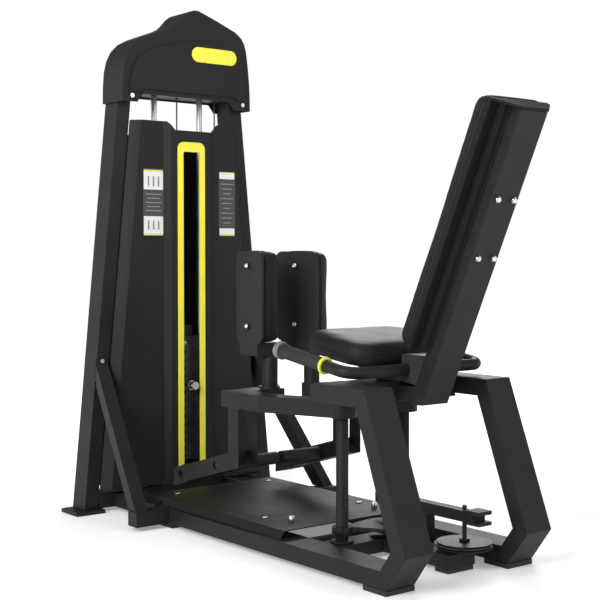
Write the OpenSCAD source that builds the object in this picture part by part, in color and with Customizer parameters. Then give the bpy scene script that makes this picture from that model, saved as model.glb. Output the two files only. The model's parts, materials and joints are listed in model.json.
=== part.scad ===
// Inner and outer thigh machine with selectorised weight stack.
// Millimetres. +Z up, origin on the floor under the middle of the machine.
// +Y points from the back rest to the weight tower, -X is the user's left.

/* [Side frames] */
// Outer face of each side frame, from the middle plane
frame_half = 265; // [255:5:270]
// Width of the frame tube across the machine
tube_w = 95; // [80:5:100]
// Wall of the frame tubes
wall = 3; // [2:0.5:4]
// Height of the top rails
rail_z = 498; // [480:1:510]

/* [Swing arms] */
// Distance of each pivot shaft from the middle plane
pivot_x = 113; // [110:1:116]
// Radius of the pivot shafts
shaft_r = 17; // [14:0.5:20]
// Underside of the swing arms
arm_z = 392; // [385:1:394]
// Distance of the arm's front run from the middle plane
arm_x = 197; // [190:1:205]

/* [Weight tower] */
// Half width of the tower at the floor
tower_foot = 374; // [360:1:380]
// Half width of the tower at its top
tower_head = 238; // [232:1:240]
// Height of the posts
post_top = 1400; // [1380:5:1420]
// Plates in the stack, the pin sits five from the top
plates = 14; // [14:1:14]
// Pitch of the plates
plate_pitch = 27; // [25:0.5:27]

/* [Seat] */
// Recline of the back rest from upright
recline = 24.5; // [20:0.1:28]
// Half width of the back cushion
back_half = 108; // [104:2:112]
// Half width of the seat
seat_half = 188; // [178:2:188]

/* [Hidden] */
$fn = 64;

paint = [0.13, 0.13, 0.14];
moulded = [0.09, 0.09, 0.10];
cloth = [0.06, 0.06, 0.07];
yellow = [0.88, 0.86, 0.16];
chrome = [0.80, 0.80, 0.82];
iron = [0.16, 0.16, 0.17];
rubber = [0.04, 0.04, 0.04];

frame_in = frame_half - tube_w;
base_lo = 13;
base_hi = 58;
rail_lo = rail_z - 47;
base_front = 485;
// side view corners of the frame tubes, as [y, z]
heel_out = [-569, base_lo];
heel_in = [-545, base_hi];
knee_out = [-637, 105];
knee_in = [-585, 112];
top_out = [-486, rail_z];
top_in = [-455, rail_lo];
rail_end = -275;

pivot_y = -225;
arm_h = 46;
arm_hi = arm_z + arm_h;
arm_w = 70;
arm_dx = arm_x - pivot_x;
arm_bend = 220;
arm_end = 405;
post_dx = 33;
post_dy = 372;
pad_z = 535;
plate_z = 443;

drive_z = 66;
sector_r = 100;
rear_r = 70;
rear_x = pivot_x - sector_r + rear_r;
rear_y = -495;
run_x = rear_x + rear_r;
cable_r = 2.5;
low_r = 25;
top_r = run_x / 2;
top_z = 1484;
stack_y = 775;
low_y = stack_y - low_r;
low_z = drive_z + low_r;

plate_d = 92;
stack_z = 141;
lifted_from = 9;
head_z = stack_z + plates * plate_pitch;
pin_z = stack_z + lifted_from * plate_pitch + 12.5;
rod_x = 90;
rod_r = 10;
post_y0 = 745;
post_y1 = 825;
post_w = 48;
cap_y0 = 700;
cap_y1 = 829;
cover_y = 708;
panel_y = 690;

col_y = -418.5;
col_z = 440;
col_u = 827;
col_w = 47;
col_d = 43;
back_y = 22;
back_front = 62;
board_t = 12;
seat_tilt = 7;
grip_tilt = 8.8;
grip_x = 242;
grip_y = -402;
grip_z = 530;

// ---------- helpers ----------
module yz_prism(p, x0, x1) {
  translate([x0, 0, 0]) rotate([90, 0, 90]) linear_extrude(x1 - x0) polygon(p);
}
module xz_prism(p, y0, y1) {
  translate([0, y1, 0]) rotate([90, 0, 0]) linear_extrude(y1 - y0) polygon(p);
}
module box(a, b) {
  translate(a) cube(b - a);
}
// bore of a mitred tube whose sides are the edges p0-p1 and p2-p3
function bore4(p, t, e) =
  let (u = (p[1] - p[0]) / norm(p[1] - p[0]), v = (p[3] - p[2]) / norm(p[3] - p[2]))
  [p[0] + t * [-u[1], u[0]] - e * u, p[1] + t * [-u[1], u[0]] + e * u,
   p[2] + t * [-v[1], v[0]] - e * v, p[3] + t * [-v[1], v[0]] + e * v];
module yz_tube(p, x0, x1, t = 3) {
  difference() {
    yz_prism(p, x0, x1);
    yz_prism(bore4(p, t, 60), x0 + t, x1 - t);
  }
}
// inward offset of an anticlockwise outline
function side(p, q, t) = let (d = (q - p) / norm(q - p)) [p + t * [-d[1], d[0]], d];
function meet(a, b) = a[0] + a[1] * (cross(b[0] - a[0], b[1]) / cross(a[1], b[1]));
function inset(p, t) = let (n = len(p))
  [for (i = [0:n - 1]) meet(side(p[(i + n - 1) % n], p[i], t), side(p[i], p[(i + 1) % n], t))];
module rrect(w, h, r) {
  square([w - 2 * r, h], center = true);
  square([w, h - 2 * r], center = true);
  for (sx = [-1, 1], sy = [-1, 1]) translate([sx * (w / 2 - r), sy * (h / 2 - r)]) circle(r);
}
module strut(a, b, w, d) {
  v = b - a;
  len = norm(v);
  translate(a) rotate([0, acos(v[2] / len), atan2(v[1], v[0])])
    translate([-w / 2, -d / 2, 0]) cube([w, d, len]);
}
module cyl_x(r, x0, x1) { translate([x0, 0, 0]) rotate([0, 90, 0]) cylinder(r = r, h = x1 - x0); }
module cyl_y(r, y0, y1) { translate([0, y0, 0]) rotate([-90, 0, 0]) cylinder(r = r, h = y1 - y0); }
module both() { children(); mirror([1, 0, 0]) children(); }
module right() { mirror([1, 0, 0]) children(); }

// ---------- side frames, drawn for the left (-X) side ----------
module base_tube() color(paint) {
  yz_tube([heel_out, [base_front, base_lo], [base_front, base_hi], heel_in],
    -frame_half, -frame_in, wall);
  // bolted joint flange, then the tube welded to the tower
  box([-frame_half - 6, base_front, base_lo - 4], [-frame_in + 6, base_front + 8, base_hi + 6]);
  difference() {
    box([-frame_half, base_front + 8, base_lo], [-frame_in, post_y0, base_hi]);
    box([-frame_half + wall, base_front + 7, base_lo + wall], [-frame_in - wall, post_y0 + 1, base_hi - wall]);
  }
}
module rear_leg() color(paint) {
  yz_tube([knee_out, heel_out, heel_in, knee_in], -frame_half, -frame_in, wall);
  yz_tube([top_out, knee_out, knee_in, top_in], -frame_half, -frame_in, wall);
}
module top_rail() color(paint) {
  yz_tube([top_in, [rail_end, rail_lo], [rail_end, rail_z], top_out], -frame_half, -frame_in, wall);
  box([-frame_half + 1, rail_end, rail_lo + 1], [-frame_in - 1, rail_end + 3, rail_z - 1]);
}
module base_tube_left() base_tube();
module base_tube_right() right() base_tube();
module rear_leg_left() rear_leg();
module rear_leg_right() right() rear_leg();
module top_rail_left() top_rail();
module top_rail_right() right() top_rail();

module rubber_feet() color(rubber) {
  both() {
    box([-frame_half - 1, -571, 0], [-frame_in + 1, -484, base_lo]);
    box([-frame_half - 1, 395, 0], [-frame_in + 1, 470, base_lo]);
  }
  box([6, -512, 0], [100, -462, base_lo]);
}

// ---------- base between the side frames ----------
module pivot_beam() color(paint) {
  difference() {
    box([-frame_in, -265, base_lo], [frame_in, -185, 50]);
    box([-frame_in - 1, -262, base_lo + 3], [frame_in + 1, -188, 47]);
    both() translate([-pivot_x, pivot_y, 0]) cylinder(r = 10.6, h = 60);
  }
  // round spreader tube behind the platform
  translate([0, -148, 38]) difference() {
    cyl_x(17, -frame_in, frame_in);
    cyl_x(14, -frame_in - 1, frame_in + 1);
  }
}
module centre_beam() color(paint) {
  difference() {
    box([3, -515, base_lo], [103, -265, 50]);
    box([6, -513, base_lo + 3], [100, -264, 47]);
    translate([rear_x, rear_y, 0]) cylinder(r = 6.1, h = 60);
  }
}
module platform() color(moulded) {
  difference() {
    xz_prism([[-250, base_hi], [-246, base_hi], [-233, 77], [233, 77], [246, base_hi],
      [250, base_hi], [235, 80], [-235, 80]], -125, 560);
    both() translate([-178, 40, 0]) cylinder(r = 5, h = 100);
    both() translate([-178, 500, 0]) cylinder(r = 5, h = 100);
    // notches round the bolted flanges of the side frames
    both() box([-frame_half - 8, base_front - 2, 50], [-232, base_front + 10, 67]);
  }
}
module tie_beam() color(paint) {
  difference() {
    union() {
      box([60, -520, 130], [92, -165, 160]);
      box([58, -570, 126], [108, -520, 164]);
      box([60, -375, 50], [92, -347, 130]);
    }
    box([57, -571, 136], [109, -546, 154]);
    translate([rear_x, rear_y, 0]) cylinder(r = 6.1, h = 170);
  }
}
module shaft_bearings() color(iron) {
  both() translate([-pivot_x, pivot_y, 0]) difference() {
    translate([0, 0, 50]) cylinder(r = 32, h = 6);
    translate([0, 0, 49]) cylinder(r = 10.05, h = 8);
  }
  // upper bearing plate under the seat beam
  difference() {
    box([-frame_in, -375, plate_z], [frame_in, -180, rail_lo]);
    both() translate([-pivot_x, pivot_y, plate_z - 1]) cylinder(r = 12.05, h = 12);
  }
}

// ---------- tower ----------
function post_x(z) = tower_foot - (tower_foot - tower_head) * (z - 12) / (post_top - 12);
module tower_post() color(paint) difference() {
  xz_prism([[-post_x(12), 12], [-post_x(12) + post_w, 12],
    [-post_x(post_top) + post_w, post_top], [-post_x(post_top), post_top]], post_y0, post_y1);
  xz_prism([[-post_x(12) + wall, 11], [-post_x(12) + post_w - wall, 11],
    [-post_x(post_top) + post_w - wall, post_top + 1], [-post_x(post_top) + wall, post_top + 1]],
    post_y0 + wall, post_y1 - wall);
}
module post_left() tower_post();
module post_right() right() tower_post();
module tower_base() color(paint) {
  difference() {
    box([-post_x(40) + post_w + 2, post_y0, 12], [post_x(40) - post_w - 2, post_y1, 60]);
    box([-post_x(40), post_y0 + wall, 15], [post_x(40), post_y1 - wall, 57]);
  }
  both() difference() {
    box([-413, 722, 0], [-310, cap_y1, 12]);
    for (y = [735, 820]) translate([-400, y, -1]) cylinder(r = 6.5, h = 14);
  }
}
top_in_x = post_x(post_top) - post_w;
module tower_top_tube() color(paint) difference() {
  box([-top_in_x, post_y0, 1360], [top_in_x, post_y1, post_top]);
  box([-230, post_y0 + wall, 1363], [230, post_y1 - wall, post_top - 3]);
  for (x = [0, run_x]) translate([x, stack_y, 1350]) cylinder(r = 9, h = 60);
  for (x = [-rod_x, rod_x]) translate([x, stack_y, 1350]) cylinder(r = rod_r + 0.05, h = 20);
}
// front view of the moulded cap, anticlockwise from its lower left corner
cap_shape = [[-253, 1327], [251, 1327], [250, 1380], [247, 1430], [241, 1486], [235, 1528],
  [227, 1554], [214, 1574], [190, 1591], [116, 1620], [56, 1641], [40, 1646], [24, 1647],
  [6, 1641], [-12, 1627], [-28, 1608], [-46, 1592], [-70, 1580], [-112, 1564], [-162, 1544],
  [-196, 1526], [-222, 1500], [-239, 1468], [-248, 1430], [-252, 1380]];
cap_front = [[-228, 1360], [-196, 1360], [-180, 1370], [180, 1370], [196, 1360], [228, 1360],
  [225, 1420], [217, 1486], [204, 1526], [182, 1542], [144, 1550], [60, 1546], [-60, 1528],
  [-146, 1500], [-190, 1476], [-214, 1440], [-225, 1400]];
module tower_cap() color(moulded) {
  difference() {
    xz_prism(cap_shape, cap_y0, cap_y1);
    xz_prism(inset(cap_shape, 4), cap_y0 + 4, cap_y1 - 3.5);
    // the mouth under the cap, open for the posts and between its two lobes
    box([-246.8, cap_y0 + 4, 1310], [246.8, cap_y1 - 3.5, 1340]);
    xz_prism([[-196, 1310], [184, 1310], [184, 1330], [164, 1354], [-176, 1354], [-196, 1330]], 690, 860);
  }
  xz_prism(cap_front, cap_y0 - 6, cap_y0 + 0.5);
}
// plan section of the folded middle of the front cover
cover_plan = [[-140, cover_y], [-96, cover_y], [-76, panel_y], [76, panel_y], [96, cover_y],
  [140, cover_y], [140, cover_y + 3], [94.5, cover_y + 3], [74.5, panel_y + 3],
  [-74.5, panel_y + 3], [-94.5, cover_y + 3], [-140, cover_y + 3]];
cover_lo = 72;
cover_hi = 1272;
function cover_edge(z) = post_x(z) - post_w - 0.3;
function cover_fold(z) = cover_edge(z) - 26;
function flank_at(z) = [[-cover_fold(z), cover_y, z], [-cover_edge(z), 740, z],
  [-cover_edge(z), 743.5, z], [-cover_fold(z), cover_y + 3.5, z]];
module front_cover() color(moulded) {
  difference() {
    translate([0, 0, cover_lo]) linear_extrude(cover_hi - cover_lo) polygon(cover_plan);
    xz_prism([[-88, cover_hi + 1], [-60, 1244], [92, 1244], [118, cover_hi + 1]], 680, 720);
    box([-34, 680, 128], [34, 700, 1176]);
  }
  both() {
    // flat wing, then a flank folded back to the post
    difference() {
      xz_prism([[-cover_fold(cover_lo) - 0.8, cover_lo], [-139, cover_lo], [-139, cover_hi],
        [-cover_fold(cover_hi) - 0.8, cover_hi]], cover_y, cover_y + 3);
      box([-run_x - 12, 700, 71], [-run_x + 12, 716, 74]);
    }
    polyhedron(concat(flank_at(cover_lo), flank_at(cover_hi)),
      [[3, 2, 1, 0], [4, 5, 6, 7], [5, 4, 0, 1], [6, 5, 1, 2], [7, 6, 2, 3], [4, 7, 3, 0]]);
  }
}
module window_frame() color(yellow) difference() {
  translate([0, panel_y, (72 + 1206) / 2]) rotate([90, 0, 0]) linear_extrude(7) rrect(104, 1134, 22);
  translate([0, panel_y + 1, (130 + 1174) / 2]) rotate([90, 0, 0]) linear_extrude(9) rrect(66, 1044, 8);
}
module labels() {
  // blank name badge on the cap
  color(yellow) translate([98, 694, 1500]) rotate([90, 0, 0]) linear_extrude(4) rrect(180, 50, 24.9);
  // blank instruction plates on the cover
  color([0.85, 0.85, 0.85]) for (p = [[-135, 78], [158, 68]])
    translate([p[0], cover_y, 1005]) rotate([90, 0, 0]) linear_extrude(1.2) rrect(p[1], 220, 4);
}
module rear_cover() color(moulded) xz_prism([[-post_x(70) + 10, 70], [post_x(70) - 10, 70],
  [post_x(1232) - 10, 1232], [-post_x(1232) + 10, 1232]], post_y1, post_y1 + 3);
module guide_rods() color(chrome) for (x = [-rod_x, rod_x])
  translate([x, stack_y, 60]) cylinder(r = rod_r, h = 1307);
module stack_buffers() color(rubber) for (x = [-rod_x, rod_x])
  translate([x, stack_y, 60]) difference() {
    cylinder(r = 27, h = stack_z - 60);
    translate([0, 0, -1]) cylinder(r = rod_r + 0.4, h = stack_z);
  }
module weight_plate(k) translate([0, stack_y, stack_z + k * plate_pitch]) difference() {
  box([-125, -plate_d / 2, 0.2], [125, plate_d / 2, plate_pitch - 0.2]);
  for (x = [-rod_x, rod_x]) translate([x, 0, -1]) cylinder(r = rod_r + 1, h = 40);
  translate([0, 0, -1]) cylinder(r = 13, h = 40);
  translate([0, 0, 12.5]) cyl_y(5.08, -60, 0);
}
module stack_resting() color(iron) for (k = [0:lifted_from - 1]) weight_plate(k);
module stack_lifted() color(iron) {
  for (k = [lifted_from:plates - 1]) weight_plate(k);
  // head plate and its carrier block
  translate([0, stack_y, head_z]) difference() {
    union() {
      box([-125, -plate_d / 2, 0.2], [125, plate_d / 2, 40]);
      box([-40, -30, 40], [40, 30, 76]);
    }
    for (x = [-rod_x, rod_x]) translate([x, 0, -1]) cylinder(r = rod_r + 1, h = 60);
    translate([0, 0, -1]) cylinder(r = 12.05, h = 90);
  }
}
module selector_stem() color(chrome) difference() {
  translate([0, stack_y, stack_z + 6]) cylinder(r = 12, h = head_z + 84 - stack_z - 6);
  for (k = [0:plates - 1]) translate([0, stack_y, stack_z + k * plate_pitch + 12.5]) cyl_y(5.08, -20, 20);
}
module selector_pin() {
  translate([0, 0, pin_z]) {
    color(chrome) cyl_y(5, 690, stack_y + 8);
    color(chrome) cyl_y(13, 664, 688);
    color(rubber) cyl_y(16, 688, 696);
  }
}

// ---------- braces and their feet ----------
module brace(yb) color(paint) {
  difference() {
    strut([-352, yb + 24, 40], [-309, 760, 475], 42, 42);
    box([-420, post_y0 - 6, 300], [-200, 900, 600]);
    box([-420, yb - 80, -50], [-200, yb + 120, base_hi]);
  }
  box([-334, post_y0 - 6, 425], [-290, post_y0, 500]);
  box([-378, yb, base_lo], [-frame_half, yb + 50, base_hi]);
}
module brace_left() brace(415);
module brace_right() right() brace(385);

// ---------- seat ----------
module seat_beam() color(paint) difference() {
  box([-frame_in, -375, rail_lo], [frame_in, -280, rail_z]);
  box([-frame_in - 1, -372, rail_lo + 3], [frame_in + 1, -283, rail_z - 3]);
}
// front plane of the reclined column at height z
function col_front(z) = col_y - (z - col_z) * tan(recline) + 0.2;
module seat_carrier() color(paint) {
  difference() {
    union() {
      yz_prism([[col_front(492), 492], [-380, 499], [-372, 498.2], [-285, 498.2], [-283, 510], [-160, 535],
        [-160, 565.3], [-383, 537.9], [-384, 552], [col_front(552), 552]], -44, 44);
      yz_prism([[col_front(549), 549], [-388, 549], [-388, 571], [col_front(571), 571]], -46, 46);
    }
    translate([0, grip_y, grip_z]) cyl_x(16.1, -60, 60);
  }
}
module on_seat() translate([0, -255, 554]) rotate([seat_tilt, 0, 0]) children();
module seat_board() color(moulded) on_seat() translate([0, 8, 0])
  linear_extrude(board_t) rrect(2 * seat_half - 10, 256, 50);
module seat_cushion() color(cloth) on_seat() translate([0, 8, board_t])
  linear_extrude(50) rrect(2 * seat_half, 266, 54);
// frame along the reclined column: x across, y out of the column's front, z up along it
module on_back() translate([0, col_y, col_z]) rotate([recline, 0, 0]) children();
module back_column() color(paint) {
  s = sin(recline);
  c = cos(recline);
  // level at its foot, cut square under the cushion's top
  yz_tube([[col_y, col_z], [col_y - col_u * s, col_z + col_u * c],
    [col_y - col_u * s - col_d * c, col_z + col_u * c - col_d * s], [col_y - col_d / c, col_z]],
    -col_w, col_w, wall);
  yz_prism([[col_y - 11 * s / c + 0.2, 451], [-375, 451], [-375, 488], [col_y - 48 * s / c + 0.2, 488]],
    -col_w, col_w);
}
// plan of the moulded back shell, one side: rim, recess, then a cheek beside the column
shell = [[-back_half + 2, back_y], [-back_half + 2, 7], [-back_half + 9, 7], [-back_half + 15, 15],
  [-62, 15], [-col_w - 3.5, 4], [-col_w - 3.5, -12], [-col_w - 0.3, -12], [-col_w - 0.3, 0.2]];
module back_board() color(moulded) on_back() {
  translate([0, 0, 160]) linear_extrude(col_u - 159)
    polygon(concat(shell, [for (i = [len(shell) - 1:-1:0]) [-shell[i][0], shell[i][1]]]));
  // lip over the column's top
  translate([0, 0, col_u + 0.5]) linear_extrude(7) polygon([[-back_half + 2, back_y],
    [-back_half + 2, 7], [-col_w - 1, -col_d - 1], [col_w + 1, -col_d - 1], [back_half - 2, 7],
    [back_half - 2, back_y]]);
}
module back_cushion() color(cloth) on_back()
  translate([0, back_front, 496]) rotate([90, 0, 0]) linear_extrude(back_front - back_y)
    rrect(2 * back_half, 677, 24);

// ---------- handles ----------
module on_handle() translate([0, grip_y, grip_z]) rotate([grip_tilt, 0, 0]) children();
module handle_tube() color(paint) on_handle() {
  cyl_x(16, -grip_x + 40, grip_x - 40);
  both() {
    translate([-grip_x + 40, 40, 0]) rotate([0, 0, 180]) rotate_extrude(angle = 90)
      translate([40, 0]) circle(16);
    translate([-grip_x, 0, 0]) cyl_y(16, 40, 288);
  }
}
module grips() color(rubber) on_handle() both() translate([-grip_x, 0, 0]) difference() {
  cyl_y(19, 98, 274);
  cyl_y(16.05, 97, 275);
}
module grip_rings() color(yellow) on_handle() both() translate([-grip_x, 0, 0]) difference() {
  cyl_y(23.5, 91, 98);
  cyl_y(16.05, 90, 99);
}
module grip_caps() color([0.7, 0.7, 0.71]) on_handle() both() translate([-grip_x, 0, 0]) difference() {
  cyl_y(24, 274, 292);
  cyl_y(16.05, 273, 288);
}

// ---------- swing arm, drawn for the left side about its pivot ----------
module at_pivot() translate([-pivot_x, pivot_y, 0]) children();
module swing_arm() color(paint) at_pivot() difference() {
  union() {
    translate([0, 0, arm_z]) cylinder(r = 40, h = arm_h);
    translate([0, 0, arm_z]) linear_extrude(arm_h) polygon([[36, 0], [-arm_dx + 35, arm_bend - 7],
      [-arm_dx + 35, post_dy - 34], [post_dx + 30, post_dy - 34], [post_dx + 30, post_dy + 12],
      [post_dx - 4, post_dy + 42], [-arm_dx - 35, arm_end], [-arm_dx - 35, arm_bend + 7], [-38, 4]]);
    // knee pad post with its flange and spigot
    translate([post_dx, post_dy, arm_hi]) cylinder(r = 31, h = 6);
    translate([post_dx, post_dy, arm_hi]) cylinder(r = 24, h = pad_z - arm_hi - 1);
    translate([post_dx, post_dy, pad_z - 2]) cylinder(r = 12, h = 34);
  }
  translate([0, 0, arm_z - 1]) cylinder(r = shaft_r + 0.05, h = arm_h + 2);
  // hollow front run
  box([-arm_dx - 31, arm_bend + 12, arm_z + 4], [-arm_dx + 31, arm_end - 4, arm_hi - 4]);
}
module swing_arm_left() swing_arm();
module swing_arm_right() right() swing_arm();
module foot_bracket() color(paint) difference() {
  union() {
    yz_tube([[145, arm_z], [95, arm_z], [95, 222], [145, 259]], -arm_x - 35, -arm_x + 35, 3);
    yz_tube([[95, 222], [365, 147], [365, 198], [145, 259]], -arm_x - 35, -arm_x + 35, 3);
    // closed end block with its clamp bolt recess
    difference() {
      yz_prism([[363.5, 143], [440, 122], [440, 176], [363.5, 201]], -arm_x - 33.5, -arm_x + 33.5);
      translate([0, 402, 162]) cyl_x(12, -arm_x - 40, -arm_x - 20);
    }
  }
  translate([0, 210, 215]) cyl_x(12.05, -arm_x - 50, -arm_x + 50);
}
module foot_bracket_left() foot_bracket();
module foot_bracket_right() right() foot_bracket();
module foot_peg() translate([0, 210, 215]) {
  color(chrome) cyl_x(12, -arm_x - 30, -14);
  color(rubber) difference() {
    cyl_x(19, -arm_x + 36, -9);
    cyl_x(12, -arm_x + 30, -14);
  }
}
module foot_peg_left() foot_peg();
module foot_peg_right() right() foot_peg();
// toothed coupling sector: 72 teeth on the full circle, mirrored sectors mesh in the middle
function tooth(k, off) = [for (j = [0:3])
  let (a = k * 5 + off + [-1.85, -0.55, 0.55, 1.85][j], r = pivot_x + [-3.8, 2.8, 2.8, -3.8][j])
  [r * cos(a), r * sin(a)]];
module pivot_shaft(off) at_pivot() {
  color(paint) difference() {
    union() {
      translate([0, 0, 56.5]) cylinder(r = shaft_r, h = arm_hi - 56.5);
      translate([0, 0, 32]) cylinder(r = 10, h = 30);
      translate([0, 0, arm_hi - 4]) cylinder(r = 12, h = 17);
      translate([0, 0, 76]) cylinder(r = 28, h = 18);
    }
  }
  color(iron) translate([0, 0, 84]) linear_extrude(10)
    polygon(concat([[0, 0]], [for (k = [-11:2]) for (p = tooth(k, off)) p]));
}
module pivot_shaft_left() pivot_shaft(0);
module pivot_shaft_right() right() pivot_shaft(2.5);
module cable_sector() color(iron) translate([pivot_x, pivot_y, drive_z]) difference() {
  union() {
    rotate([0, 0, 160]) rotate_extrude(angle = 78) polygon([[20, -6], [105, -6], [105, -4.2],
      [sector_r - 2.8, -2.9], [sector_r - 2.8, 2.9], [105, 4.2], [105, 6], [20, 6]]);
    translate([0, 0, -7]) cylinder(r = 27, h = 14.5);
  }
  translate([0, 0, -10]) cylinder(r = shaft_r + 0.05, h = 20);
}

// ---------- knee pads, drawn about their own post, cushion toward +X ----------
module pad_frame(reach) color(paint) {
  difference() {
    box([-reach - 1, -22, pad_z], [28, 88, pad_z + 38]);
    translate([0, 0, pad_z - 1]) cylinder(r = 12.06, h = 36);
  }
  translate([-reach - 8, 30, 0]) rotate([90, 0, 90]) linear_extrude(8) {
    translate([0, 707]) rrect(160, 272, 26);
    translate([-52, pad_z]) square([110, 60]);
  }
  for (z = [622, 800]) translate([0, 30, z]) cyl_x(9, -reach - 14, -reach - 7);
}
module pad_cushion(reach) color(cloth) translate([-reach + 0.2, 30, 709]) rotate([90, 0, 90])
  linear_extrude(62) rrect(156, 270, 28);
module pad_left_at() translate([-pivot_x + post_dx, pivot_y + post_dy, 0]) rotate([0, 0, -8]) children();
module pad_right_at() translate([pivot_x - post_dx, pivot_y + post_dy, 0]) rotate([0, 0, 13.5]) children();
module pad_frame_left() pad_left_at() pad_frame(46);
module pad_cushion_left() pad_left_at() pad_cushion(46);
module pad_frame_right() pad_right_at() pad_frame(32);
module pad_cushion_right() pad_right_at() pad_cushion(32);

// ---------- cable drive ----------
module sheave(r) rotate_extrude() polygon([[6.06, -8], [r + 5, -8], [r + 5, -5], [r - 2.8, -2.9],
  [r - 2.8, 2.9], [r + 5, 5], [r + 5, 8], [6.06, 8]]);
module pulley_rear() color(iron) translate([rear_x, rear_y, drive_z]) sheave(rear_r);
module pulley_low() color(iron) translate([run_x, low_y, low_z]) rotate([0, 90, 0]) sheave(low_r);
module pulley_top() color(iron) translate([top_r, stack_y, top_z]) rotate([90, 0, 0]) sheave(top_r);
module pulley_mounts() color(iron) {
  // pin of the rear pulley, with its two washers
  translate([rear_x, rear_y, 40]) cylinder(r = 6, h = 130);
  translate([rear_x, rear_y, 50]) cylinder(r = 14, h = 7.7);
  translate([rear_x, rear_y, 74.3]) cylinder(r = 14, h = 8);
  // bracket and axle of the low pulley
  for (x = [run_x - 13, run_x + 9.5]) box([x, 738, 60], [x + 3.5, 782, 110]);
  translate([0, low_y, low_z]) cyl_x(6, run_x - 16, run_x + 16);
  // bracket and axle of the top pulley
  for (y = [stack_y - 13, stack_y + 9.5]) box([top_r - 25, y, post_top], [top_r + 25, y + 3.5, top_z + 18]);
  translate([top_r, 0, top_z]) cyl_y(6, stack_y - 16, stack_y + 16);
}
module cable_run() color(rubber) {
  translate([rear_x - rear_r, 0, drive_z]) cyl_y(cable_r, rear_y, pivot_y - 2);
  translate([rear_x, rear_y, drive_z]) rotate([0, 0, 180]) rotate_extrude(angle = 180)
    translate([rear_r, 0]) circle(cable_r, $fn = 24);
  translate([run_x, 0, drive_z]) cyl_y(cable_r, rear_y, low_y);
  translate([run_x, low_y, low_z]) rotate([0, -90, 0]) rotate([0, 0, 90]) rotate_extrude(angle = 90)
    translate([low_r, 0]) circle(cable_r, $fn = 24);
  translate([run_x, stack_y, low_z]) cylinder(r = cable_r, h = top_z - low_z);
  translate([top_r, stack_y, top_z]) rotate([90, 0, 0]) rotate_extrude(angle = 180)
    translate([top_r, 0]) circle(cable_r, $fn = 24);
}
module cable_lift() color(rubber) translate([0, stack_y, head_z + 84])
  cylinder(r = cable_r, h = top_z - head_z - 84 - 0.5);

// ---------- fasteners on the frame ----------
module chrome_bolts() color(chrome) {
  on_back() for (x = [-28, 28], u = [442, 600])
    translate([x, 0, u]) cyl_y(8, -col_d - 6, -col_d);
  both() {
    for (y = [40, 500]) translate([-178, y, 58]) cylinder(r = 4.6, h = 22);
    for (y = [40, 500]) translate([-178, y, 80]) cylinder(r = 8, h = 4);
    translate([-155, -55, 80]) cylinder(r = 8, h = 20);
    translate([0, base_front - 10, 44]) cyl_x(8, -frame_half - 10, -frame_half);
    translate([-218, 0, 1346]) cyl_y(7, 696, 700);
    translate([-312, 0, 491]) cyl_y(7, post_y0 - 12, post_y0 - 6);
  }
}

base_tube_left();
base_tube_right();
rear_leg_left();
rear_leg_right();
top_rail_left();
top_rail_right();
rubber_feet();
pivot_beam();
centre_beam();
platform();
brace_left();
brace_right();
post_left();
post_right();
tower_base();
tower_top_tube();
tower_cap();
front_cover();
window_frame();
labels();
rear_cover();
guide_rods();
stack_buffers();
stack_resting();
shaft_bearings();
seat_beam();
seat_carrier();
seat_board();
seat_cushion();
back_column();
back_board();
back_cushion();
handle_tube();
grips();
grip_rings();
grip_caps();
tie_beam();
pulley_mounts();
cable_run();
chrome_bolts();
swing_arm_left();
foot_bracket_left();
foot_peg_left();
pivot_shaft_left();
swing_arm_right();
foot_bracket_right();
foot_peg_right();
pivot_shaft_right();
cable_sector();
pad_frame_left();
pad_cushion_left();
pad_frame_right();
pad_cushion_right();
stack_lifted();
selector_stem();
cable_lift();
selector_pin();
pulley_rear();
pulley_low();
pulley_top();
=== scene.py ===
import json
import math

import bmesh
import bpy
from mathutils import Matrix, Vector, noise


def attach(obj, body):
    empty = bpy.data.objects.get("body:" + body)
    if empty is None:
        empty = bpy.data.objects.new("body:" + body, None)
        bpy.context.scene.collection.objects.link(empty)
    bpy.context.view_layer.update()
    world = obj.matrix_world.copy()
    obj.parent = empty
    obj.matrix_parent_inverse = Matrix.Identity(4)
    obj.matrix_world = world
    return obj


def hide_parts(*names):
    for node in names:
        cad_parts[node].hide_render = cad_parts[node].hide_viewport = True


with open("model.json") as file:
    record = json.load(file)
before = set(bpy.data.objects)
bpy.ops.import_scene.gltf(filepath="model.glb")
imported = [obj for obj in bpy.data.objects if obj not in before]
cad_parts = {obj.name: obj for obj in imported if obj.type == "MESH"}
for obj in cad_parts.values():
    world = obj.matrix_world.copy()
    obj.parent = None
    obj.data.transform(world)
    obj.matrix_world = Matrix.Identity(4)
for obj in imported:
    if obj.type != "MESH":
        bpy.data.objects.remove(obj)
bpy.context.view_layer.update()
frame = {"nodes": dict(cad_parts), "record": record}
nodes = frame["nodes"]

# ---------------------------------------------------------------- sizes, in metres
BACK_RECLINE = math.radians(24.5)     # of the back rest from upright
SEAT_TILT = math.radians(7)
FLAT_EDGE = 0.0016                    # rounding of sheet and tube edges
PAD_POST = (0.080, 0.147)             # x either side of the middle, and y, of the knee pads' posts
LEFT_TOE = math.radians(-8)           # turn of each knee pad about its post
RIGHT_TOE = math.radians(13.5)
LEFT_REACH = 0.046                    # from the post to the back of each knee pad's cushion
RIGHT_REACH = 0.032
PAD_PLATE = 0.0141                    # back of the cushion to the seat of the plate's screws
CARD_Y = 0.7068                       # front of the instruction plates on the cover
FILM_Y = 0.7063                       # front of the films on them
WELT_RADIUS = 0.0019
QUARTER_TURN = math.pi / 2


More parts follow.
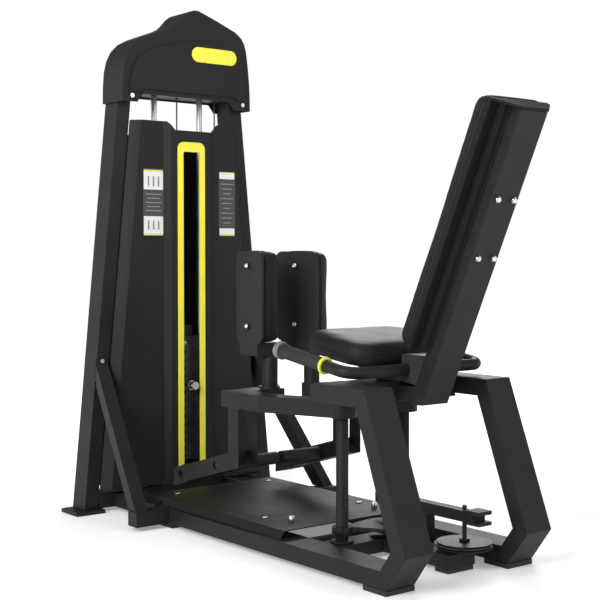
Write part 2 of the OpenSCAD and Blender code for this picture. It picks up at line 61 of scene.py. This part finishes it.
# ---------------------------------------------------------------- material helpers
class Nodes:
    """A short way to write a material's nodes."""

    def __init__(self, name):
        self.material = bpy.data.materials.new(name)
        self.material.use_nodes = True
        self.tree = self.material.node_tree
        self.shader = self.tree.nodes["Principled BSDF"]
        coords = self.add("ShaderNodeTexCoord")
        self.place = coords.outputs["Object"]

    def add(self, kind, **values):
        node = self.tree.nodes.new(kind)
        for key, value in values.items():
            setattr(node, key, value)
        return node

    def link(self, a, b):
        self.tree.links.new(a, b)

    def noise(self, scale, detail=3.0, rough=0.5, stretch=None):
        node = self.add("ShaderNodeTexNoise")
        node.inputs["Scale"].default_value = scale
        node.inputs["Detail"].default_value = detail
        node.inputs["Roughness"].default_value = rough
        self.link(self.stretched(stretch), node.inputs["Vector"])
        return node.outputs["Fac"]

    def cells(self, scale, feature="F1"):
        node = self.add("ShaderNodeTexVoronoi", feature=feature)
        node.inputs["Scale"].default_value = scale
        self.link(self.place, node.inputs["Vector"])
        return node.outputs["Distance"]

    def stretched(self, stretch):
        """Object coordinates, scaled along each axis where asked."""
        if stretch is None:
            return self.place
        mapping = self.add("ShaderNodeMapping")
        mapping.inputs["Scale"].default_value = stretch
        self.link(self.place, mapping.inputs["Vector"])
        return mapping.outputs["Vector"]

    def ramp(self, fac, stops):
        """Colours at their positions along a factor."""
        node = self.add("ShaderNodeValToRGB")
        elements = node.color_ramp.elements
        while len(elements) < len(stops):
            elements.new(0.5)
        for element, (at, colour) in zip(elements, stops):
            element.position = at
            element.color = (*colour, 1)
        self.link(fac, node.inputs["Fac"])
        return node.outputs["Color"]

    def between(self, fac, low, high):
        """A factor of 0 to 1 spread from low to high."""
        node = self.add("ShaderNodeMapRange")
        node.inputs["To Min"].default_value = low
        node.inputs["To Max"].default_value = high
        self.link(fac, node.inputs["Value"])
        return node.outputs["Result"]

    def bump(self, *heights):
        """Heights are (socket, distance in metres, strength), joined one after the other."""
        last = None
        for height, distance, strength in heights:
            node = self.add("ShaderNodeBump")
            node.inputs["Strength"].default_value = strength
            node.inputs["Distance"].default_value = distance
            self.link(height, node.inputs["Height"])
            if last:
                self.link(last, node.inputs["Normal"])
            last = node.outputs["Normal"]
        self.link(last, self.shader.inputs["Normal"])

    def edges(self, low, high):
        """A mask of convex edges, where paint wears."""
        geometry = self.add("ShaderNodeNewGeometry")
        node = self.add("ShaderNodeMapRange")
        node.inputs["From Min"].default_value = low
        node.inputs["From Max"].default_value = high
        self.link(geometry.outputs["Pointiness"], node.inputs["Value"])
        return node.outputs["Result"]

    def colour(self, socket):
        self.link(socket, self.shader.inputs["Base Color"])

    def roughness(self, socket):
        self.link(socket, self.shader.inputs["Roughness"])

    def set(self, **values):
        """Shader values by name, spaces written as underscores."""
        for key, value in values.items():
            self.shader.inputs[key.replace("_", " ")].default_value = value


def grey(v, warm=0.0):
    """A neutral tone, or one a little warmer."""
    return (v * (1 + warm), v, v * (1 - warm))


def mix_colour(n, fac, a, b):
    """From colour a to colour b by a factor. Either may be a socket."""
    node = n.add("ShaderNodeMix", data_type="RGBA")
    n.link(fac, node.inputs["Factor"])
    for socket, value in ((node.inputs[6], a), (node.inputs[7], b)):
        if isinstance(value, tuple):
            socket.default_value = (*value, 1)
        else:
            n.link(value, socket)
    return node.outputs[2]


def powder_coat(name="powder_coat", tone=0.0145):
    """Black powder coat: fine orange peel, a little dust and worn edges."""
    n = Nodes(name)
    dust = n.noise(9, 5, 0.6)
    base = n.ramp(dust, [(0.30, grey(tone * 0.86)), (0.72, grey(tone * 1.16, 0.01))])
    worn = mix_colour(n, n.edges(0.56, 0.70), base, grey(tone * 2.1))
    n.colour(worn)
    n.roughness(n.between(n.noise(26, 4), 0.40, 0.53))
    n.bump((n.noise(900, 2), 0.00020, 0.30), (n.cells(1500), 0.00012, 0.22))
    n.set(Specular_IOR_Level=0.13)
    return n.material


def moulded_cover(name="moulded_cover", tone=0.0145):
    """Vacuum-formed cover: leather-like grain and long soft sheen changes."""
    n = Nodes(name)
    base = n.ramp(n.noise(5, 4, 0.55), [(0.3, grey(tone * 0.9)), (0.75, grey(tone * 1.12, 0.012))])
    n.colour(base)
    n.roughness(n.between(n.noise(14, 3), 0.46, 0.58))
    n.bump((n.cells(620, "SMOOTH_F1"), 0.00035, 0.32), (n.noise(1400, 2), 0.0001, 0.22))
    n.set(Specular_IOR_Level=0.13)
    return n.material


def upholstery():
    """Grained black vinyl with pores, shallow creases and rubbed patches."""
    n = Nodes("black_vinyl")
    rubbed = n.noise(7, 5, 0.6)
    base = n.ramp(rubbed, [(0.32, grey(0.0085)), (0.72, grey(0.0125, 0.01))])
    n.colour(base)
    n.roughness(n.between(rubbed, 0.42, 0.56))
    grain = n.cells(430, "DISTANCE_TO_EDGE")
    n.bump((n.noise(22, 3), 0.0016, 0.16), (grain, 0.0006, 0.55), (n.noise(1300, 2), 0.00012, 0.3))
    n.set(Specular_IOR_Level=0.14, Sheen_Weight=0.02, Sheen_Roughness=0.45)
    return n.material


def twisted(n, scale):
    """Diagonal bands, as of twisted strands."""
    wave = n.add("ShaderNodeTexWave", wave_type="BANDS", bands_direction="DIAGONAL")
    wave.inputs["Scale"].default_value = scale
    n.link(n.place, wave.inputs["Vector"])
    return wave.outputs["Fac"]


def thread():
    """Black sewing thread."""
    n = Nodes("seam_thread")
    twist = twisted(n, 420)
    n.colour(n.ramp(twist, [(0.2, grey(0.02)), (0.8, grey(0.05))]))
    n.bump((twist, 0.0003, 0.5))
    n.set(Roughness=0.6)
    return n.material


def yellow_plastic():
    """Bright yellow satin plastic with faint moulding flow and scuffs."""
    n = Nodes("yellow_plastic")
    flow = n.noise(11, 4, 0.55)
    base = n.ramp(flow, [(0.3, (0.70, 0.66, 0.030)), (0.75, (0.79, 0.75, 0.045))])
    scuffed = mix_colour(n, n.edges(0.60, 0.74), base, (0.86, 0.83, 0.16))
    n.colour(scuffed)
    n.roughness(n.between(n.noise(60, 3), 0.36, 0.50))
    n.bump((n.noise(700, 2), 0.0001, 0.2))
    n.set(Coat_Weight=0.12, Coat_Roughness=0.25)
    return n.material


def chrome(name="chrome", turned=False, rough=0.06, tone=0.60):
    """Polished chrome with fine polishing lines and faint smears."""
    n = Nodes(name)
    smear = n.noise(28, 4, 0.6)
    n.colour(n.ramp(smear, [(0.3, grey(tone)), (0.75, grey(1.3 * tone))]))
    n.roughness(n.between(smear, rough, rough + (0.22 if turned else 0.14)))
    lines = n.noise(260, 2, 0.5, stretch=(1, 1, 0.04) if not turned else (1, 0.05, 1))
    n.bump((lines, 0.00006, 0.18))
    n.set(Metallic=1.0, Coat_Weight=0.1, Coat_Roughness=0.05)
    return n.material


def cast_iron(name="black_enamel", tone=0.007):
    """Enamelled castings: soft sand-cast pitting under black enamel."""
    n = Nodes(name)
    n.colour(n.ramp(n.noise(18, 5, 0.6), [(0.3, grey(tone)), (0.75, grey(1.8 * tone))]))
    n.roughness(n.between(n.noise(40, 4), 0.34, 0.55))
    n.bump((n.noise(130, 4, 0.6), 0.0006, 0.35), (n.noise(900, 2), 0.0001, 0.25))
    n.set(Specular_IOR_Level=0.20)
    return n.material


def rubber(name="rubber", ribs=0, axis="Y"):
    """Matt black rubber, ribbed round a grip where asked."""
    n = Nodes(name)
    n.colour(n.ramp(n.noise(20, 4), [(0.3, grey(0.006)), (0.75, grey(0.011))]))
    n.roughness(n.between(n.noise(90, 3), 0.62, 0.80))
    heights = [(n.noise(800, 2), 0.00018, 0.4)]
    if ribs:
        wave = n.add("ShaderNodeTexWave", wave_type="BANDS", bands_direction=axis)
        wave.inputs["Scale"].default_value = ribs
        n.link(n.place, wave.inputs["Vector"])
        heights.insert(0, (wave.outputs["Fac"], 0.0005, 0.35))
    n.bump(*heights)
    return n.material


def brushed_cap():
    """Brushed grey end caps."""
    n = Nodes("brushed_grey_cap")
    n.colour(n.ramp(n.noise(30, 4), [(0.3, grey(0.17)), (0.75, grey(0.22))]))
    n.roughness(n.between(n.noise(120, 3), 0.38, 0.52))
    n.bump((n.noise(300, 2, 0.5, stretch=(1, 0.06, 1)), 0.0001, 0.3))
    n.set(Metallic=0.35)
    return n.material


def cable_jacket():
    """Nylon-coated steel rope: the strands show through as a fine twist."""
    n = Nodes("cable_jacket")
    twist = twisted(n, 90)
    n.colour(n.ramp(twist, [(0.2, grey(0.016)), (0.8, grey(0.03))]))
    n.bump((twist, 0.0003, 0.4))
    n.set(Roughness=0.38)
    return n.material


def label_film(name, tone):
    """Printed film in one plain tone."""
    n = Nodes(name)
    n.colour(n.ramp(n.noise(40, 4), [(0.3, grey(tone * 0.94)), (0.75, grey(tone))]))
    n.roughness(n.between(n.noise(50, 3), 0.35, 0.5))
    n.bump((n.noise(500, 2), 0.00005, 0.2))
    return n.material


PAINT = powder_coat()
# a lighter copy of the powder coat for the knee pads' plates: painted light, the lit look of the plates'
# faces put into their colour
LIT_PLATE = powder_coat("plate_coat_painted_light", tone=0.0185)
COVER = moulded_cover()
# a darker copy of the moulded cover for the back board: painted shade, the shade of the recess behind the
# back cushion put into its colour
SHADED_SHELL = moulded_cover("back_shell_painted_shade", tone=0.007)
VINYL = upholstery()
THREAD = thread()
YELLOW = yellow_plastic()
CHROME = chrome()
TURNED = chrome("turned_chrome", turned=True)
# a dim chrome for the selector pin's knob: painted shade, standing in for the dark parts that polished
# chrome reflects
DIMMED_KNOB = chrome("knob_chrome_painted_shade", rough=0.24, tone=0.26)
ROD = chrome("ground_rod", rough=0.34)
IRON = cast_iron()
PLATES = cast_iron("plate_enamel", tone=0.040)
RUBBER = rubber()
GRIP = rubber("grip_rubber", ribs=48, axis="Y")
PEG = rubber("peg_rubber", ribs=46, axis="X")
GREY_CAP = brushed_cap()
CABLE = cable_jacket()
WHITE = label_film("label_white", 0.72)
INK = label_film("label_ink", 0.03)
FAINT = label_film("label_grey", 0.22)


# ---------------------------------------------------------------- mesh helpers
def link(obj):
    """Puts an object in the scene."""
    bpy.context.scene.collection.objects.link(obj)
    return obj


def shade(mesh, smooth=True):
    """Shades every face smooth or flat."""
    for face in mesh.polygons:
        face.use_smooth = smooth


def from_bmesh(name, bm, material, smooth=True):
    """An object in the scene from a bmesh, which it frees."""
    bmesh.ops.recalc_face_normals(bm, faces=bm.faces)
    mesh = bpy.data.meshes.new(name)
    bm.to_mesh(mesh)
    bm.free()
    mesh.materials.append(material)
    shade(mesh, smooth)
    return link(bpy.data.objects.new(name, mesh))


def place_piece(obj, body):
    """Says which body a piece moves with."""
    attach(obj, body)


def add_bevel(obj, width):
    """Rounds the sharp edges."""
    weld = obj.modifiers.new("weld", "WELD")
    weld.merge_threshold = 0.00002
    round_off = obj.modifiers.new("edges", "BEVEL")
    round_off.width = width
    round_off.segments = 2
    round_off.limit_method = "ANGLE"
    round_off.angle_limit = math.radians(35)
    round_off.harden_normals = True
    round_off.use_clamp_overlap = True


def lathe(name, profile, material, steps):
    """Turns (radius, height) points about Z into a closed body."""
    bm = bmesh.new()
    rings = []
    for radius, height in profile:
        if radius < 1e-6:
            rings.append([bm.verts.new((0, 0, height))])
            continue
        turns = [2 * math.pi * i / steps for i in range(steps)]
        rings.append([bm.verts.new((radius * math.cos(a), radius * math.sin(a), height)) for a in turns])
    for low, high in zip(rings, rings[1:]):
        for i in range(steps):
            corners = [low[i % len(low)], low[(i + 1) % len(low)],
                       high[(i + 1) % len(high)], high[i % len(high)]]
            # a point on the axis makes a triangle
            unique = list(dict.fromkeys(corners))
            if len(unique) > 2:
                bm.faces.new(unique)
    return from_bmesh(name, bm, material)


def tube_ring(name, points, radius, material):
    """A round tube along a closed list of points, as a mesh."""
    curve = bpy.data.curves.new(name, "CURVE")
    curve.dimensions = "3D"
    curve.bevel_depth = radius
    curve.bevel_resolution = 3
    spline = curve.splines.new("POLY")
    spline.points.add(len(points) - 1)
    for spot, point in zip(spline.points, points):
        spot.co = (*point, 1)
    spline.use_cyclic_u = True
    holder = link(bpy.data.objects.new(name, curve))
    mesh = bpy.data.meshes.new_from_object(holder.evaluated_get(bpy.context.evaluated_depsgraph_get()))
    bpy.data.objects.remove(holder)
    mesh.materials.clear()
    mesh.materials.append(material)
    shade(mesh)
    return link(bpy.data.objects.new(name, mesh))


def rounded_outline(width, height, radius, step=0.006):
    """Points round a rectangle with round corners, centred, evenly spaced."""
    points = []
    corners = ((1, 1, 0), (-1, 1, 90), (-1, -1, 180), (1, -1, 270))
    for sx, sy, start in corners:
        centre = Vector((sx * (width / 2 - radius), sy * (height / 2 - radius)))
        count = max(4, int(radius * math.pi / 2 / step))
        for i in range(count + 1):
            a = math.radians(start + 90 * i / count)
            points.append(centre + radius * Vector((math.cos(a), math.sin(a))))
    return points


def resample(points, step):
    """Evenly spaced points round a closed outline."""
    loop = points + points[:1]
    lengths = [(b - a).length for a, b in zip(loop, loop[1:])]
    total = sum(lengths)
    count = int(total / step)
    result = []
    at, index = 0.0, 0
    for i in range(count):
        want = total * i / count
        while at + lengths[index] < want:
            at += lengths[index]
            index += 1
        share = (want - at) / lengths[index] if lengths[index] else 0
        result.append(loop[index].lerp(loop[index + 1], share))
    return result


# ---------------------------------------------------------------- cushions
def cushion_mesh(outline, depth, edge_round, pitch=0.009, rounding=5):
    """A closed slab over z 0..depth with a rounded front edge, in rings of inset and height."""
    bm = bmesh.new()
    border = resample(outline, pitch)
    levels = [(0.0, 0.0)]
    side = depth - edge_round
    rows = max(2, int(side / pitch))
    for i in range(1, rows + 1):
        levels.append((0.0, side * i / rows))
    for i in range(1, rounding + 1):
        a = QUARTER_TURN * i / rounding
        levels.append((edge_round * (1 - math.cos(a)), side + edge_round * math.sin(a)))
    centre = sum(border, Vector((0, 0))) / len(border)
    rings = []
    for inset, z in levels:
        ring = []
        for spot in border:
            away = spot - centre
            reach = 1 - inset / max(away.length, 1e-6)
            flat = centre + Vector((away.x * reach, away.y * reach))
            ring.append(bm.verts.new((flat.x, flat.y, z)))
        rings.append(ring)
    count = len(border)
    for low, high in zip(rings, rings[1:]):
        for i in range(count):
            bm.faces.new((low[i], low[(i + 1) % count], high[(i + 1) % count], high[i]))
    bm.faces.new(list(reversed(rings[0])))
    bm.faces.new(rings[-1])
    return bm


def remesh_evenly(obj, size=0.007):
    """Replaces the mesh by an even one of about that edge length."""
    remesh = obj.modifiers.new("remesh", "REMESH")
    remesh.mode = "VOXEL"
    remesh.voxel_size = size
    apply_modifiers(obj)


def inflate(obj, floor_z, cap, share=0.4, pressure=4.0, frames=18):
    """Fills the closed body by cloth simulation. Its back, below floor_z, stays on its board."""
    rest = [v.co.copy() for v in obj.data.vertices]
    group = obj.vertex_groups.new(name="board")
    group.add([i for i, co in enumerate(rest) if co.z < floor_z], 1.0, "REPLACE")
    cloth = obj.modifiers.new("cloth", "CLOTH")
    cloth.settings.quality = 6
    cloth.settings.use_pressure = True
    cloth.settings.uniform_pressure_force = pressure
    cloth.settings.tension_stiffness = 30
    cloth.settings.compression_stiffness = 30
    cloth.settings.shear_stiffness = 12
    cloth.settings.bending_stiffness = 2.5
    cloth.settings.vertex_group_mass = "board"
    cloth.settings.effector_weights.gravity = 0
    cloth.point_cache.frame_start = 1
    cloth.point_cache.frame_end = frames
    scene = bpy.context.scene
    for step in range(1, frames + 1):
        scene.frame_set(step)
    apply_modifiers(obj)
    scene.frame_set(1)
    # only a share of the swelling is kept, so the pad stays as flat as a firm one
    for vertex, start in zip(obj.data.vertices, rest):
        moved = (vertex.co - start) * share
        if moved.length > cap:
            moved = moved.normalized() * cap
        vertex.co = start + moved
    obj.vertex_groups.clear()


def apply_modifiers(obj):
    """Keeps the modifiers' result as the mesh, and removes them."""
    graph = bpy.context.evaluated_depsgraph_get()
    mesh = bpy.data.meshes.new_from_object(obj.evaluated_get(graph))
    old = obj.data
    obj.modifiers.clear()
    obj.data = mesh
    bpy.data.meshes.remove(old)
    shade(mesh)


def crown(obj, depth, rise, half_w, half_h):
    """Domes the front and adds the shallow pull of the cover along its edges."""
    back = depth * 0.35
    for vertex in obj.data.vertices:
        x, y, z = vertex.co
        if z < back:
            continue
        across = max(0.0, 1 - (x / half_w) ** 2)
        along = max(0.0, 1 - (y / half_h) ** 2)
        lift = rise * (across ** 0.7) * (along ** 0.55)
        weight = min(1.0, (z - back) / (depth * 0.45))
        ripple = noise.noise(Vector((x * 14, y * 11, z * 8))) * 0.0009
        near_edge = 1 - min(across, along) ** 0.5
        pull = noise.noise(Vector((x * 46, y * 46, 3.1))) * 0.0010 * near_edge
        vertex.co.z += weight * (lift + ripple + pull)


def soften(obj, times, factor):
    """Evens out the steps that the remesh leaves."""
    bm = bmesh.new()
    bm.from_mesh(obj.data)
    for _ in range(times):
        bmesh.ops.smooth_vert(bm, verts=bm.verts, factor=factor,
                              use_axis_x=True, use_axis_y=True, use_axis_z=True)
    bm.to_mesh(obj.data)
    bm.free()


def stitches(name, path, length=0.0042, gap=0.0022, radius=0.0005):
    """Short separate stitches laid along a closed path, joined as one piece."""
    loop = [Vector(p) for p in path] + [Vector(path[0])]
    spots = []
    carry = 0.0
    for a, b in zip(loop, loop[1:]):
        segment = (b - a).length
        while carry < segment:
            spots.append((a.lerp(b, carry / segment), (b - a).normalized()))
            carry += length + gap
        carry -= segment
    sides = 6
    profile = [(-0.5, 0.45), (-0.32, 1.0), (0.32, 1.0), (0.5, 0.45)]
    verts, faces = [], []
    for middle, along in spots:
        side = along.orthogonal().normalized()
        up = along.cross(side)
        first = len(verts)
        for share, swell in profile:
            for i in range(sides):
                a = 2 * math.pi * i / sides
                round_it = radius * swell * (math.cos(a) * side + math.sin(a) * up)
                verts.append(middle + along * length * share + round_it)
        for ring in range(len(profile) - 1):
            for i in range(sides):
                low = first + ring * sides
                high = low + sides
                faces.append((low + i, low + (i + 1) % sides, high + (i + 1) % sides, high + i))
        faces.append(tuple(first + i for i in reversed(range(sides))))
        faces.append(tuple(first + sides * (len(profile) - 1) + i for i in range(sides)))
    mesh = bpy.data.meshes.new(name)
    mesh.from_pydata(verts, [], faces)
    mesh.materials.append(THREAD)
    shade(mesh)
    return link(bpy.data.objects.new(name, mesh))


def build_cushion(name, size, corner, depth, rise, edge_round, back_flat, seam_z, placement,
                  body, replaced, taper=0.0):
    """One upholstered pad: simulated body, welt along its seam and a row of stitches."""
    width, height = size
    outline = rounded_outline(width - 0.004, height - 0.004, corner)
    if taper:
        for spot in outline:
            spot.x *= 1 - taper * max(0.0, spot.y / (height / 2))
    obj = from_bmesh(name, cushion_mesh(outline, depth - 0.004, edge_round), VINYL)
    remesh_evenly(obj)
    inflate(obj, back_flat, cap=0.0022)
    soften(obj, 4, 0.45)
    crown(obj, depth, rise, width / 2, height / 2)
    for vertex in obj.data.vertices:
        vertex.co.z = min(max(vertex.co.z, 0.0), depth + rise)
    smooth = obj.modifiers.new("smooth", "SUBSURF")
    smooth.levels = 1
    smooth.render_levels = 1
    apply_modifiers(obj)
    seam = resample(outline, 0.006)
    welt = tube_ring(name + "_welt", project_outside(obj, seam, seam_z), WELT_RADIUS, VINYL)
    row = stitches(name + "_stitching", project_outside(obj, seam, seam_z - 0.0045))
    for piece in (obj, welt, row):
        piece.data.transform(placement)
        place_piece(piece, body)
    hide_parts(*replaced)


def project_outside(obj, outline, z):
    """The outline pushed onto the pad's side at height z."""
    graph = bpy.context.evaluated_depsgraph_get()
    centre = sum(outline, Vector((0, 0))) / len(outline)
    path = []
    for spot in outline:
        out = (spot - centre).normalized()
        start = Vector((*(spot + out * 0.05), z))
        hit, where, _, _ = obj.ray_cast(start, Vector((-out.x, -out.y, 0)), distance=0.2, depsgraph=graph)
        path.append(where + Vector((out.x, out.y, 0)) * 0.0002 if hit else Vector((*spot, z)))
    return path


# ---------------------------------------------------------------- small pieces
def at(place, *turns):
    """A place, then turns of an angle about an axis."""
    m = Matrix.Translation(Vector(place))
    for angle, axis in turns:
        m = m @ Matrix.Rotation(angle, 4, axis)
    return m


def bolt_head(name, place, radius, body):
    """A domed chrome head with a socket recess, its seat at local z = 0."""
    profile = ((0, 0.30), (0.36, 0.30), (0.42, 0.62), (0.60, 0.66), (0.86, 0.52), (1, 0.26), (1, 0), (0, 0))
    head = lathe(name, [(radius * r, radius * z) for r, z in profile], CHROME, 28)
    head.data.transform(place)
    place_piece(head, body)


def flat_plate(name, centre, size, thick, corner, material):
    """A thin rounded label on the tower, facing -Y, its front face at the centre's y."""
    outline = rounded_outline(size[0], size[1], corner, 0.003)
    bm = bmesh.new()
    rings = [[bm.verts.new((centre[0] + p.x, y, centre[2] + p.y)) for p in outline]
             for y in (centre[1], centre[1] + thick)]
    count = len(outline)
    for i in range(count):
        bm.faces.new((rings[0][i], rings[0][(i + 1) % count], rings[1][(i + 1) % count], rings[1][i]))
    bm.faces.new(rings[0])
    bm.faces.new(list(reversed(rings[1])))
    plate = from_bmesh(name, bm, material, smooth=False)
    add_bevel(plate, thick * 0.3)
    place_piece(plate, "frame")
    return plate


# ---------------------------------------------------------------- camera, light, floor
def aim_camera():
    """The view: low, behind the user and to their left."""
    azimuth, pitch = math.radians(38.3), math.radians(2.05)
    level = math.cos(pitch)
    ahead = Vector((math.sin(azimuth) * level, math.cos(azimuth) * level, -math.sin(pitch)))
    data = bpy.data.cameras.new("camera")
    data.sensor_width = 36
    data.lens = 74.4
    camera = link(bpy.data.objects.new("camera", data))
    camera.location = (-2.281, -2.785, 0.830)
    camera.rotation_mode = "QUATERNION"
    camera.rotation_quaternion = ahead.to_track_quat("-Z", "Y")
    data.clip_end = 60
    bpy.context.scene.camera = camera


def area_light(name, place, size, power):
    """A square soft box aimed at the middle of the machine."""
    data = bpy.data.lights.new(name, "AREA")
    data.shape = "RECTANGLE"
    data.size = data.size_y = size
    data.energy = power
    lamp = link(bpy.data.objects.new(name, data))
    lamp.location = place
    lamp.rotation_mode = "QUATERNION"
    lamp.rotation_quaternion = (Vector((0, 0, 0.7)) - Vector(place)).to_track_quat("-Z", "Y")


def light_the_horizon(tree):
    """A white wall all round with a dim ceiling, so black paint keeps its contrast."""
    coords = tree.nodes.new("ShaderNodeTexCoord")
    split = tree.nodes.new("ShaderNodeSeparateXYZ")
    ramp = tree.nodes.new("ShaderNodeValToRGB")
    ramp.color_ramp.elements[0].position = 0.22
    ramp.color_ramp.elements[0].color = (1, 1, 1, 1)
    ramp.color_ramp.elements[1].position = 0.48
    ramp.color_ramp.elements[1].color = (0.12, 0.12, 0.12, 1)
    tree.links.new(coords.outputs["Generated"], split.inputs["Vector"])
    tree.links.new(split.outputs["Z"], ramp.inputs["Fac"])
    tree.links.new(ramp.outputs["Color"], tree.nodes["Background"].inputs["Color"])
    tree.nodes["Background"].inputs["Strength"].default_value = 1.0


def studio():
    """Pale floor, white surroundings and four soft lights."""
    bm = bmesh.new()
    bmesh.ops.create_grid(bm, x_segments=4, y_segments=4, size=30)
    n = Nodes("studio_floor")
    n.colour(n.ramp(n.noise(0.6, 2), [(0.3, grey(0.86)), (0.7, grey(0.88))]))
    n.set(Roughness=0.55, Specular_IOR_Level=0.3)
    # the floor brightens with distance into the white wall, as a lit sweep does
    away = n.add("ShaderNodeVectorMath", operation="LENGTH")
    n.link(n.place, away.inputs[0])
    glow = n.add("ShaderNodeMapRange", interpolation_type="SMOOTHSTEP")
    for socket, value in (("From Min", 0.9), ("From Max", 3.6), ("To Min", 0.25), ("To Max", 0.80)):
        glow.inputs[socket].default_value = value
    n.link(away.outputs["Value"], glow.inputs["Value"])
    n.link(glow.outputs["Result"], n.shader.inputs["Emission Strength"])
    n.shader.inputs["Emission Color"].default_value = (1, 1, 1, 1)
    floor = from_bmesh("studio_floor", bm, n.material, smooth=False)
    floor.location.z = -0.0005
    world = bpy.data.worlds.new("studio")
    world.use_nodes = True
    light_the_horizon(world.node_tree)
    bpy.context.scene.world = world
    area_light("key_left", (-4.4, -1.0, 2.9), 2.6, 230)
    area_light("rear_fill", (1.6, -4.6, 2.6), 2.4, 60)
    area_light("top_soft", (0.2, 0.4, 4.6), 3.4, 70)
    area_light("front_rim", (3.6, 3.4, 2.8), 2.2, 80)
    bpy.context.scene.view_settings.view_transform = "Standard"


# ---------------------------------------------------------------- CAD nodes that stay
# material and edge rounding by slot, and for single nodes
FINISH = {
    "frame_paint": (PAINT, FLAT_EDGE), "cover": (COVER, 0.0014), "yellow": (YELLOW, 0.0015),
    "labels": (WHITE, 0.0004), "board": (COVER, 0.003), "chrome": (TURNED, 0.0012),
    "weights": (IRON, 0.0010), "rubber": (RUBBER, 0.0015), "cable": (CABLE, 0),
    "grey_cap": (GREY_CAP, 0.0015), "upholstery": (VINYL, 0),
}
OWN_FINISH = {
    "guide_rods": (ROD, 0.0006), "back_board": (SHADED_SHELL, 0.0030), "grips": (GRIP, 0.0025),
    "foot_peg_left": (PEG, 0.0015), "foot_peg_right": (PEG, 0.0015),
    "pad_frame_left": (LIT_PLATE, 0.0018), "pad_frame_right": (LIT_PLATE, 0.0018),
    "stack_resting": (PLATES, 0.0012), "stack_lifted": (PLATES, 0.0012),
    "selector_pin": (DIMMED_KNOB, 0.0012), "tower_cap": (COVER, 0.0045), "pulley_mounts": (IRON, 0.0008),
}
slots = {entry["node"]: entry["material_slot"] for entry in frame["record"]["subparts"]}
for node_name, obj in nodes.items():
    material, width = OWN_FINISH.get(node_name, FINISH[slots[node_name]])
    obj.data.materials.clear()
    obj.data.materials.append(material)
    if width:
        add_bevel(obj, width)

# ---------------------------------------------------------------- build
aim_camera()
studio()


# local z of a cushion is its thickness, local y runs toward its top or front
seat_place = at((0, -0.255, 0.554), (SEAT_TILT, "X")) @ at((0, 0.008, 0))
build_cushion("seat_pad", (0.376, 0.266), 0.054, 0.062, 0.004, 0.024, 0.012, 0.024,
              seat_place, "frame", ["seat_cushion", "seat_board"], taper=0.08)
on_back = at((0, -0.4185, 0.440), (BACK_RECLINE, "X"))
back_place = on_back @ at((0, 0.021, 0.496), (QUARTER_TURN, "X"), (math.pi, "Y"))
build_cushion("back_pad", (0.216, 0.677), 0.024, 0.041, 0.002, 0.014, 0.008, 0.012,
              back_place, "frame", ["back_cushion"])
for side, hand, toe, reach in (("left", -1, LEFT_TOE, LEFT_REACH), ("right", 1, RIGHT_TOE, RIGHT_REACH)):
    on_pad = at((hand * PAD_POST[0], PAD_POST[1], 0), (toe, "Z"))
    pad_place = on_pad @ at((-reach + 0.0002, 0.030, 0.709), (QUARTER_TURN, "Y"), (QUARTER_TURN, "Z"))
    build_cushion("knee_pad_" + side, (0.156, 0.270), 0.028, 0.061, 0.002, 0.012, 0.008, 0.018,
                  pad_place, "pad_" + side, ["pad_cushion_" + side])
    for z in (0.622, 0.800):
        seat_of_head = on_pad @ at((-reach - PAD_PLATE, 0.030, z), (-QUARTER_TURN, "Y"))
        bolt_head(f"pad_bolt_{side}_{z:.3f}", seat_of_head, 0.0078, "pad_" + side)
for x in (-0.028, 0.028):
    for u in (0.442, 0.600):
        seat_of_head = on_back @ at((x, -0.0491, u), (QUARTER_TURN, "X"))
        bolt_head(f"back_bolt_{x:.3f}_{u:.3f}", seat_of_head, 0.0070, "frame")
bolt_head("head_plate_screw", at((0, 0.7291, 0.536), (QUARTER_TURN, "X")), 0.0065, "stack")

badge = flat_plate("badge", (0.098, 0.690, 1.500), (0.180, 0.050), 0.004, 0.0249, YELLOW)
flat_plate("badge_field", (0.098, 0.6896, 1.500), (0.170, 0.040), 0.0005, 0.0199, YELLOW)

# instruction plates: blank films, with blank bars where text and drawings would be
LEFT_X, RIGHT_X = -0.135, 0.158
for name, x, width in (("left", LEFT_X, 0.078), ("right", RIGHT_X, 0.068)):
    flat_plate("card_" + name, (x, CARD_Y, 1.005), (width, 0.220), 0.0011, 0.004, INK)
for name, x, z, width, height, material in (
        ("left_head", LEFT_X, 1.076, 0.073, 0.060, WHITE),
        ("left_band", LEFT_X, 1.1085, 0.073, 0.004, YELLOW),
        ("left_foot", LEFT_X, 0.930, 0.073, 0.058, WHITE),
        ("left_edge", LEFT_X, 0.8985, 0.073, 0.004, YELLOW),
        ("right_head", RIGHT_X, 1.101, 0.062, 0.020, WHITE),
        ("right_band", RIGHT_X, 1.1125, 0.062, 0.003, YELLOW),
        ("right_foot", RIGHT_X, 0.913, 0.062, 0.020, WHITE),
        ("right_edge", RIGHT_X, 0.9005, 0.062, 0.004, YELLOW)):
    flat_plate("card_" + name, (x, FILM_Y, z), (width, height), 0.0006, 0.0014, material)
for row in range(9):
    size = (0.052 - 0.010 * (row % 3), 0.003)
    flat_plate(f"card_rule_{row}", (RIGHT_X, FILM_Y, 1.074 - 0.0165 * row), size, 0.0006, 0.0012, FAINT)
for row in range(5):
    size = (0.060 - 0.012 * (row % 2), 0.003)
    flat_plate(f"card_line_{row}", (LEFT_X, FILM_Y, 1.031 - 0.0135 * row), size, 0.0006, 0.0012, FAINT)
for column in (-1, 0, 1):
    for z, tall in ((1.073, 0.034), (0.930, 0.030)):
        place = (LEFT_X + 0.019 * column, FILM_Y - 0.0004, z)
        flat_plate(f"card_mark_{column + 1}_{z:.3f}", place, (0.006, tall), 0.0006, 0.0020, FAINT)
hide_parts("labels")
